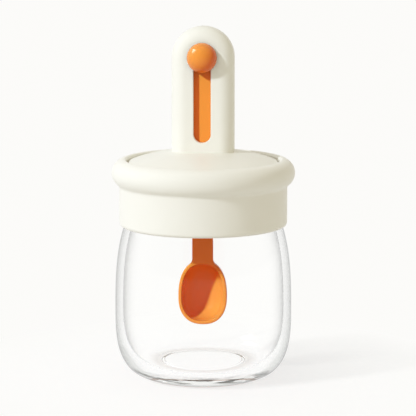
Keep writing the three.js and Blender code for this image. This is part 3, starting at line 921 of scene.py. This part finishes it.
def cup(name, inset, depth, edge, around=160, levels=40):
    """A deep oval cup, open to the front. A negative edge flares its rim, others round it."""
    start = abs(edge)
    lip = STEM_FRONT - (CUT_STEP if edge < 0 else 0)
    layers = [(edge, 1.0, STEM_FRONT - OVERRUN)] if edge < 0 else []
    layers += along(8, lambda t: (
        edge * (1 - math.sin(QUARTER * t)), 1.0, lip + start * (1 - math.cos(QUARTER * t))))
    first = math.asin((start / depth) ** (1 / BOWL_SIDE_SHARE))
    for j in range(1, levels):
        b = first + (QUARTER - first) * j / levels
        y = STEM_FRONT + depth * math.sin(b) ** BOWL_SIDE_SHARE
        layers.append((0.0, math.cos(b) ** BOWL_SIDE_SHARE, y))
    points = []
    for away, shrink, y in layers:
        for i in range(around):
            x, z = rim_point(TURN * i / around, inset + away, shrink)
            points.append((x, y, z))
    tip = len(points)
    points.append((0.0, STEM_FRONT + depth, BOWL_WIDEST))
    faces = [tuple(range(around))]
    for k in range(len(layers) - 1):
        faces += band(k * around, around)
    last = (len(layers) - 1) * around
    for i in range(around):
        faces.append((last + i, tip, last + (i + 1) % around))
    return mesh_object(name, points, faces)


def bar(name, radius, front, back, height, steps=48):
    ring = arc(0.0, height, radius, 0, TURN, steps)[:-1]
    return layered(name, [[(x, y, z) for x, z in ring] for y in (front, back)])


def make_spoon():
    spoon = cup("dipper", 0, BOWL_DEPTH, RIM_OUTER_ROUND)
    stem = plate("stem", stem_outline, STEM_FRONT, STEM_BACK, STEM_ROUND, 6)
    join(spoon, stem, "UNION")
    scoop = cup("scoop", BOWL_WALL, BOWL_DEPTH - BOWL_WALL, -RIM_INNER_ROUND)
    join(spoon, scoop, "DIFFERENCE")
    hole = bar("hole", PEG_RADIUS + SNAP_GAP, STEM_FRONT - OVERRUN, STEM_BACK + OVERRUN, KNOB_Z)
    join(spoon, hole, "DIFFERENCE")
    grow = SNAP_GAP / 2
    half = PAD_WIDTH / 2 + grow
    low = KNOB_Z - PAD_DROP - (PAD_LENGTH / 2 + grow)
    high = KNOB_Z - PAD_DROP + (PAD_LENGTH / 2 + grow)
    pocket = layered("pocket", [
        [(-half, y, low), (half, y, low), (half, y, high), (-half, y, high)]
        for y in (STEM_BACK - PAD_POCKET - grow / 2, STEM_BACK + OVERRUN)
    ])
    join(spoon, pocket, "DIFFERENCE")
    smooth(spoon, 32, True)
    dress(spoon, "spoon", "orange_plastic", ORANGE, "spoon")
    return spoon


def make_knob():
    centre = FACE - KNOB_STAND_OFF
    back = FACE - SLIDE_GAP
    shank = SLOT_WIDTH / 2 - SLIDE_GAP
    turn = KNOB_EDGE_ROUND
    end = math.asin((back - turn - centre) / KNOB_RADIUS)
    ball = arc(0.0, centre, KNOB_RADIUS, -QUARTER, end, 64)[1:]
    rim = ball[-1][0]
    profile = [
        (0, centre - KNOB_RADIUS),
        *ball,
        *along(4, lambda t: (
            rim - turn * (1 - math.cos(t * QUARTER)) * KNOB_EDGE_LEAN,
            back - turn + turn * math.sin(t * QUARTER),
        ))[1:],
        (shank, back),
        (shank, STEM_FRONT),
        (PEG_RADIUS, STEM_FRONT),
        (PEG_RADIUS, STEM_BACK - SNAP_GAP),
        (0, STEM_BACK - SNAP_GAP),
    ]
    knob = lathe("ball_knob", profile, 128)
    for v in knob.data.vertices:
        x, y, z = v.co
        v.co = (x, z, KNOB_Z * MM - y)
    knob.data.update()
    smooth(knob, 32)
    dress(knob, "spoon", "orange_plastic", KNOB_ORANGE, "slide_knob")
    return knob


# ---- Camera, floor and light --------------------------------------------------------------------

VIEW_AZIMUTH = math.radians(3.84)
VIEW_ELEVATION = math.radians(9.19)
VIEW_DISTANCE = 0.9894
VIEW_HEIGHT = 0.0792
VIEW_SIDE = 0.0022
FOCAL_PIXELS = 2119.0
IMAGE_PIXELS = 416.0
SENSOR = 36.0

# The key light falls from a little further left on the collar, and further still on the floor.
KEY_AZIMUTH = math.radians(-45)
KEY_ELEVATION = math.radians(30)
KEY_LIGHT = (1.4, 1.515, 1.7)
KEY_ANGLE = math.radians(3)
GROUND_AZIMUTH = math.radians(-57)
GROUND_ELEVATION = math.radians(30)
GROUND_ANGLE = math.radians(6)
SIDE_LIGHT = (1.345, 1.455, 1.625)
SIDE_AZIMUTH = math.radians(-54)
SIDE_ELEVATION = math.radians(33)
ACCENT_LIGHT = (0.8, 5.2, 9.6)
SHINE_LIGHT = (2.6, 2.6, 2.6)
SHINE_AZIMUTH = math.radians(-95)
SHINE_ELEVATION = math.radians(39)
SHINE_ANGLE = math.radians(20)

# The world: what lights the pieces, and what is seen in and through them.
FILL_LEFT = (0.725, 0.722, 0.71)
FILL_RIGHT = (0.525, 0.472, 0.315)
BACKGROUND = (0.972, 0.966, 0.946)
SEEN_FRONT = (0.25, 0.24, 0.22)
SEEN_LEFT = (0.95, 0.95, 0.95)
SEEN_RIGHT = (0.68, 0.68, 0.675)
BEHIND_RANGE = (0.3, 0.97)
FRONT_RANGE = (-0.1, -0.75)

# The floor: its colours, and at what distances in metres from the middle they change.
FLOOR_HALF = 6.0
NEAR_FLOOR = (0.995, 0.992, 0.975)
NEAR_FADES = (0.04, 0.13)
FLOOR_WITHIN = (1.018, 1.024, 1.03)  # factor for the floor seen through glass
FLOOR_BOUNCE = (0.8, 0.79, 0.76)
SHADOW_COLOUR = (1.0, 0.925, 0.82)
SHADOW_STRENGTH = (0.75, 0.5)
SHADOW_EASES = (0.03, 0.06)
SHADOW_FADES = (0.125, 0.065)
SHADOW_WITHIN = 0.6
# SHADOW_COLOUR as the world and the ground lamp light it: times the mean of FILL_LEFT and
# FILL_RIGHT plus KEY_LIGHT times the sine of GROUND_ELEVATION over pi.
SHADOW_LIT = (0.848, 0.775, 0.642)
# A painted contact shadow: a darker ring on the floor round the foot, paler behind two glass
# surfaces.
PAINTED_CONTACT_SHADOW = (0.36, 0.2, 0.12)
PAINTED_CONTACT_SHADOW_WITHIN = (0.84, 0.82, 0.8)
CONTACT_SHADOW_INNER = (0.0195, 0.0212)
CONTACT_SHADOW_OUTER = (0.0285, 0.0235)


def direction(azimuth, elevation):
    """Unit vector from the object towards a place, with azimuth 0 at the front."""
    flat = math.cos(elevation)
    return Vector((math.sin(azimuth) * flat, -math.cos(azimuth) * flat, math.sin(elevation)))


def make_camera():
    data = bpy.data.cameras.new("camera")
    data.sensor_width = SENSOR
    data.lens = FOCAL_PIXELS / IMAGE_PIXELS * SENSOR
    data.clip_start = 0.01
    data.clip_end = 50
    camera = bpy.data.objects.new("camera", data)
    bpy.context.collection.objects.link(camera)
    right = Vector((math.cos(VIEW_AZIMUTH), math.sin(VIEW_AZIMUTH), 0))
    target = Vector((0, 0, VIEW_HEIGHT)) + right * VIEW_SIDE
    towards = direction(VIEW_AZIMUTH, VIEW_ELEVATION)
    camera.location = target + towards * VIEW_DISTANCE
    camera.rotation_euler = (-towards).to_track_quat("-Z", "Y").to_euler()
    bpy.context.scene.camera = camera


def sun(name, light, azimuth, elevation, angle, *pieces):
    """A sun lamp that lights only these pieces."""
    strength = max(light)
    data = bpy.data.lights.new(name, "SUN")
    data.energy = strength
    data.color = [part / strength for part in light]
    data.angle = angle
    thing = bpy.data.objects.new(name, data)
    bpy.context.collection.objects.link(thing)
    towards = direction(azimuth, elevation)
    thing.location = towards
    thing.rotation_euler = (-towards).to_track_quat("-Z", "Y").to_euler()
    chosen = bpy.data.collections.new(name)
    for piece in pieces:
        chosen.objects.link(piece)
    thing.light_linking.receiver_collection = chosen
    return thing


def make_lights(spoon, knob, jar, collar, floor):
    key_from = (KEY_AZIMUTH, KEY_ELEVATION, KEY_ANGLE)
    # The key lamp lights all but the floor and the collar, which have a lamp each.
    key = sun("key", KEY_LIGHT, *key_from, floor, collar)
    for left_out in key.light_linking.receiver_collection.collection_objects:
        left_out.light_linking.link_state = "EXCLUDE"
    ground = sun("ground", KEY_LIGHT, GROUND_AZIMUTH, GROUND_ELEVATION, GROUND_ANGLE, floor)
    side = sun("side", SIDE_LIGHT, SIDE_AZIMUTH, SIDE_ELEVATION, KEY_ANGLE, collar)
    for broad in (key, ground, side):
        broad.data.cycles.use_multiple_importance_sampling = False
        broad.visible_glossy = False
    accent = sun("accent", ACCENT_LIGHT, *key_from, spoon, knob)
    accent.visible_glossy = False
    shine_from = (SHINE_AZIMUTH, SHINE_ELEVATION, SHINE_ANGLE)
    shine = sun("shine", SHINE_LIGHT, *shine_from, spoon, knob, jar)
    shine.visible_diffuse = False


def make_world():
    world = bpy.data.worlds.new("world")
    bpy.context.scene.world = world
    world.use_nodes = True
    tree = world.node_tree
    tree.nodes.clear()
    out = tree.nodes.new("ShaderNodeOutputWorld")
    place = tree.nodes.new("ShaderNodeTexCoord")
    parts = tree.nodes.new("ShaderNodeSeparateXYZ")
    tree.links.new(place.outputs["Generated"], parts.inputs[0])
    across = ranged(tree, parts.outputs["X"], -1, 1)
    behind = ranged(tree, parts.outputs["Y"], *BEHIND_RANGE)
    front = ranged(tree, parts.outputs["Y"], *FRONT_RANGE)
    fill = tree.nodes.new("ShaderNodeBackground")
    feed(tree, fill.inputs["Color"], blend(tree, across, FILL_LEFT, FILL_RIGHT))
    seen = tree.nodes.new("ShaderNodeBackground")
    sides = blend(tree, front, blend(tree, across, SEEN_LEFT, SEEN_RIGHT), SEEN_FRONT)
    feed(tree, seen.inputs["Color"], blend(tree, behind, sides, BACKGROUND))
    shown = mixed_shaders(tree, seen_rays(tree), fill.outputs[0], seen.outputs[0])
    tree.links.new(shown, out.inputs["Surface"])


def seen_rays(tree):
    """1 for camera rays, also by way of a mirror or glass, and 0 for rays that light a surface."""
    seen = light_path(tree, "Is Camera Ray")
    for name in ("Is Glossy Ray", "Is Transmission Ray"):
        seen = reckoned(tree, "MAXIMUM", seen, light_path(tree, name))
    first = reckoned(tree, "LESS_THAN", light_path(tree, "Diffuse Depth"), 0.5)
    return multiplied(tree, seen, first)


def make_floor():
    """A pale floor that keeps the object's shadow close by and fades into the background."""
    a = FLOOR_HALF
    mesh = bpy.data.meshes.new("floor")
    mesh.from_pydata([(-a, -a, 0), (a, -a, 0), (a, a, 0), (-a, a, 0)], [], [(0, 1, 2, 3)])
    floor = bpy.data.objects.new("floor", mesh)
    bpy.context.collection.objects.link(floor)
    mat = bpy.data.materials.new("floor")
    mat.use_nodes = True
    tree = mat.node_tree
    tree.nodes.clear()
    out = tree.nodes.new("ShaderNodeOutputMaterial")
    place = tree.nodes.new("ShaderNodeNewGeometry")
    length = tree.nodes.new("ShaderNodeVectorMath")
    length.operation = "LENGTH"
    tree.links.new(place.outputs["Position"], length.inputs[0])
    away = length.outputs["Value"]
    within = deeper(tree, SEEN_DIRECTLY)

    base = blend(tree, ranged(tree, away, *NEAR_FADES), NEAR_FLOOR, BACKGROUND)
    base = mixed(tree, "MULTIPLY", base, blend(tree, within, WHITE, FLOOR_WITHIN))
    # Painted contact shadow: the floor's colour darkens in a ring round the foot.
    inner = ranged(tree, away, *CONTACT_SHADOW_INNER)
    outer = ranged(tree, away, *CONTACT_SHADOW_OUTER)
    shade = blend(tree, deeper(tree, BEHIND_TWO_SURFACES), PAINTED_CONTACT_SHADOW, PAINTED_CONTACT_SHADOW_WITHIN)
    painted_contact_shadow = blend(tree, multiplied(tree, inner, outer), WHITE, shade)
    base = mixed(tree, "MULTIPLY", base, painted_contact_shadow)

    # The share of the floor that takes the shadow is lit, and its light comes off the glow.
    near = ranged(tree, away, *SHADOW_EASES, *SHADOW_STRENGTH)
    far = ranged(tree, away, *SHADOW_FADES)
    share = multiplied(tree, near, far, ranged(tree, within, 0, 1, 1.0, SHADOW_WITHIN))
    glow = tree.nodes.new("ShaderNodeEmission")
    left = mixed(tree, "SUBTRACT", base, blend(tree, share, BLACK, SHADOW_LIT))
    feed(tree, glow.inputs["Color"], left)
    shown = tree.nodes.new("ShaderNodeBsdfDiffuse")
    feed(tree, shown.inputs["Color"], blend(tree, share, BLACK, SHADOW_COLOUR))
    both = tree.nodes.new("ShaderNodeAddShader")
    tree.links.new(glow.outputs[0], both.inputs[0])
    tree.links.new(shown.outputs[0], both.inputs[1])
    plain = tree.nodes.new("ShaderNodeBsdfDiffuse")
    feed(tree, plain.inputs["Color"], FLOOR_BOUNCE)
    surface = mixed_shaders(tree, seen_rays(tree), plain.outputs[0], both.outputs[0])
    tree.links.new(surface, out.inputs["Surface"])
    mesh.materials.append(mat)
    return floor


# ---- Scene --------------------------------------------------------------------------------------

make_camera()
floor = make_floor()
make_world()

jar = make_jar()
make_gasket()
collar = make_collar()
make_thread_ring()
make_lid()
make_lid_base()
make_plug_seal()
spoon = make_spoon()
knob = make_knob()
make_lights(spoon, knob, jar, collar, floor)

for node, finish in {"guide_track": NATURAL, "stem_wiper": SILICONE, "brake_pad": SILICONE}.items():
    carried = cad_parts[node]
    carried.data.materials.clear()
    carried.data.materials.append(finish)

bpy.context.scene.view_settings.view_transform = "Standard"
